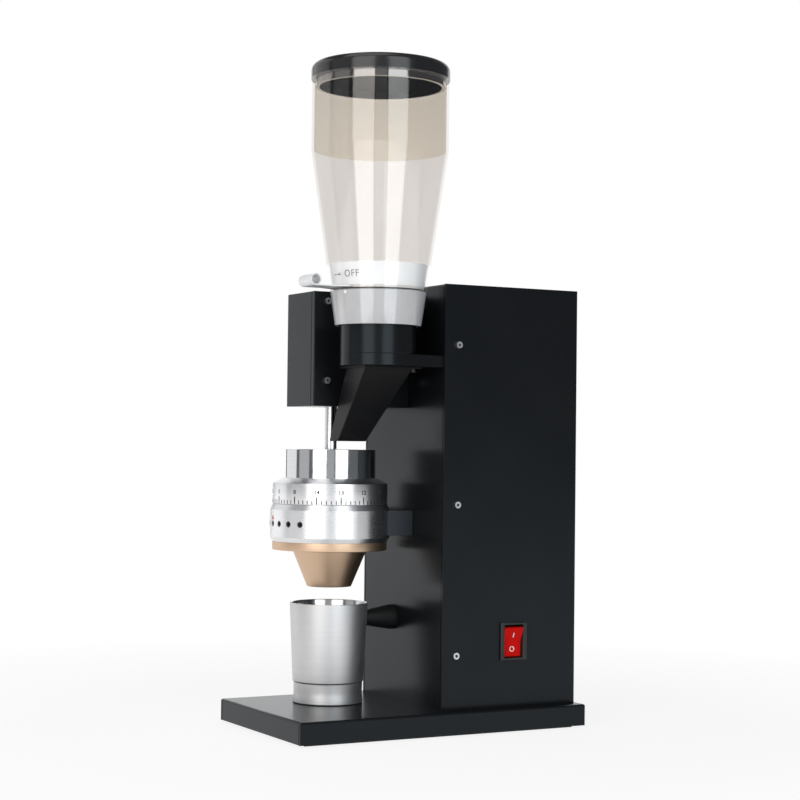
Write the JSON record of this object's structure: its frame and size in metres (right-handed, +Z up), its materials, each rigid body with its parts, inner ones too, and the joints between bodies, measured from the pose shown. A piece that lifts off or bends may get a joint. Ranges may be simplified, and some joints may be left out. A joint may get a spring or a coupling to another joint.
{
  "type": "burr coffee grinder",
  "caption": "Upright burr coffee grinder with a sheet-metal tower, belt-drive arm, stepped adjusting dial, clear lidded hopper with gate slide, chute, grounds funnel and loose dosing cup.",
  "frame": {"origin": "middle of the base on the surface it stands on", "axes": "+Z up, -Y towards the front where the cup stands, +X towards the switch side"},
  "size_m": [0.1781, 0.2675, 0.5482],
  "materials": {
    "black_coat": "satin powder coat",
    "rubber_pad": "matt",
    "zinc_steel": "bright zinc",
    "black_steel": "black oxide",
    "switch_black": "satin",
    "rocker_red": "gloss",
    "contact_brass": "bright",
    "satin_aluminium": "satin turned",
    "polished_ring": "polished",
    "bright_steel": "ground",
    "burr_steel": "ground",
    "copper_anodised": "copper anodised",
    "cup_aluminium": "satin spun",
    "motor_paint": "semi-matt",
    "motor_iron": "raw",
    "belt_rubber": "matt",
    "capacitor_case": "semi-matt",
    "clear_hopper": "clear",
    "white_ring": "satin",
    "beige_film": "matt",
    "lid_black": "satin",
    "chute_black": "satin"
  },
  "bodies": {
    "frame": {"base_tray": "black_coat", "base_plate": "black_coat", "tower_chassis": "black_coat", "wrap_cover": "black_coat", "arm_housing": "black_coat", "arm_cover": "black_coat", "head_bracket": "black_coat", "hopper_plate": "black_coat", "hopper_collar": "black_coat", "motor_plate": "black_coat", "base_pad": "rubber_pad", "cup_stop": "rubber_pad", "base_screws": "zinc_steel", "tower_bolts": "zinc_steel", "nuts": "zinc_steel", "cover_screws": "zinc_steel", "arm_cover_screws": "zinc_steel", "arm_bolts": "zinc_steel", "housing_bolts": "zinc_steel", "head_bolts": "zinc_steel", "cup_stop_screw": "zinc_steel", "plate_bolts": "zinc_steel", "motor_bolts": "zinc_steel", "grub_screws": "black_steel", "chute_screws": "black_steel", "guide_pins": "black_steel", "switch_housing": "switch_black", "inlet_socket": "switch_black", "switch_terminals": "contact_brass", "inlet_pins": "contact_brass", "head_body": "satin_aluminium", "bearing_housing": "satin_aluminium", "spindle_bearings": "bright_steel", "motor_bearings": "bright_steel", "funnel": "copper_anodised", "motor_can": "motor_paint", "motor_end_bell": "motor_paint", "motor_stator": "motor_iron", "drive_belt": "belt_rubber", "capacitor": "capacitor_case", "chute": "chute_black", "chute_flange": "chute_black"},
    "rocker": {"rocker": "rocker_red"},
    "dial": {"adjusting_dial": "satin_aluminium"},
    "burr_holder": {"burr_holder": "polished_ring", "upper_burr": "burr_steel"},
    "spindle": {"spindle": "bright_steel", "driven_pulley": "satin_aluminium", "burr_carrier": "satin_aluminium", "lower_burr": "burr_steel", "carrier_nut": "black_steel"},
    "motor_rotor": {"motor_shaft": "bright_steel", "motor_rotor": "motor_iron", "drive_pulley": "satin_aluminium"},
    "hopper": {"hopper_shell": "clear_hopper", "gate_ring": "white_ring", "hopper_film": "beige_film"},
    "lid": {"lid": "lid_black"},
    "gate": {"gate_slide": "bright_steel"},
    "cup": {"cup": "cup_aluminium"}
  },
  "joints": [
    {"name": "power_rocker", "type": "hinge", "parent": "frame", "child": "rocker", "pos_m": [0.0593, 0.0695, 0.074], "axis": [0, -1, 0], "range_deg": [0, 24]},
    {"name": "grind_dial", "type": "hinge", "parent": "frame", "child": "dial", "pos_m": [-0.0233, -0.0592, 0.195], "axis": [0, 0, 1], "range_deg": [-31, 305]},
    {"name": "burr_height", "type": "slide", "parent": "frame", "child": "burr_holder", "axis": [0, 0, 1], "range_m": [-0.00013, 0.00128]},
    {"name": "spindle_spin", "type": "hinge", "parent": "frame", "child": "spindle", "pos_m": [-0.0233, -0.0592, 0.2], "axis": [0, 0, 1], "continuous": true},
    {"name": "motor_spin", "type": "hinge", "parent": "frame", "child": "motor_rotor", "pos_m": [-0.0233, 0.0673, 0.2], "axis": [0, 0, 1], "continuous": true},
    {"name": "hopper_lift", "type": "slide", "parent": "frame", "child": "hopper", "axis": [0, 0, 1], "range_m": [0, 0.03]},
    {"name": "lid_lift", "type": "slide", "parent": "hopper", "child": "lid", "axis": [0, 0, 1], "range_m": [0, 0.04]},
    {"name": "gate_pull", "type": "slide", "parent": "hopper", "child": "gate", "axis": [0, -1, 0], "range_m": [0, 0.036]},
    {"name": "cup_pull", "type": "slide", "parent": "frame", "child": "cup", "axis": [0, -1, 0], "range_m": [0, 0.045]}
  ],
  "couplings": [
    {"joint": "burr_height", "follows": "grind_dial", "m_per_rad": 0.00023873},
    {"joint": "spindle_spin", "follows": "motor_spin", "ratio": 0.75}
  ]
}
